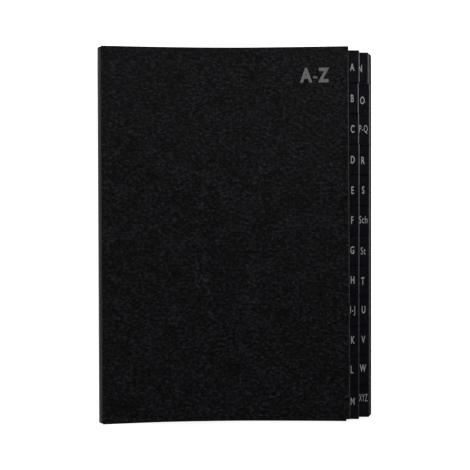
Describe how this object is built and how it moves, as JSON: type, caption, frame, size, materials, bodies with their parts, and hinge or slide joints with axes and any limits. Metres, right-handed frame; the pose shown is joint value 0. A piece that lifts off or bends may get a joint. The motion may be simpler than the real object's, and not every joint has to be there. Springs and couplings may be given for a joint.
{
  "type": "alphabetical desk sorter",
  "caption": "A4 desk sorter with stiff black covers, a cloth spine and stepped index dividers lettered from A to Z in two columns of tabs.",
  "frame": {"origin": "middle of the footprint, on the surface that the back cover lies on", "axes": "+X from the spine to the fore edge with the tabs, +Y up the page to the end with the first tab, +Z out of the front cover"},
  "size_m": [0.253, 0.3414, 0.029],
  "materials": {
    "embossed_paper": "satin",
    "lining_paper": "matte",
    "index_card": "satin",
    "spine_linen": "matte",
    "gusset_paper": "matte"
  },
  "bodies": {
    "leaf_block": {"spine_cloth": "spine_linen", "spine_gusset": "gusset_paper", "divider_a": "index_card", "divider_b": "index_card", "divider_c": "index_card", "divider_d": "index_card", "divider_e": "index_card", "divider_f": "index_card", "divider_g": "index_card", "divider_h": "index_card", "divider_i_j": "index_card", "divider_k": "index_card", "divider_l": "index_card", "divider_m": "index_card", "divider_n": "index_card", "divider_o": "index_card", "divider_p_q": "index_card", "divider_r": "index_card", "divider_s": "index_card", "divider_sch": "index_card", "divider_st": "index_card", "divider_t": "index_card", "divider_u": "index_card", "divider_v": "index_card", "divider_w": "index_card", "divider_xyz": "index_card"},
    "front_board": {"front_cover": "embossed_paper", "front_lining": "lining_paper"},
    "back_board": {"back_cover": "embossed_paper", "back_lining": "lining_paper"}
  },
  "joints": [
    {"name": "front_hinge", "type": "hinge", "parent": "leaf_block", "child": "front_board", "pos_m": [-0.12262, -0.00042, 0.02683], "axis": [0.0049, -1, 0], "range_deg": [0, 180]},
    {"name": "back_hinge", "type": "hinge", "parent": "leaf_block", "child": "back_board", "pos_m": [-0.12262, -0.00042, 0.0022], "axis": [0, 1, 0], "range_deg": [0, 180]}
  ]
}
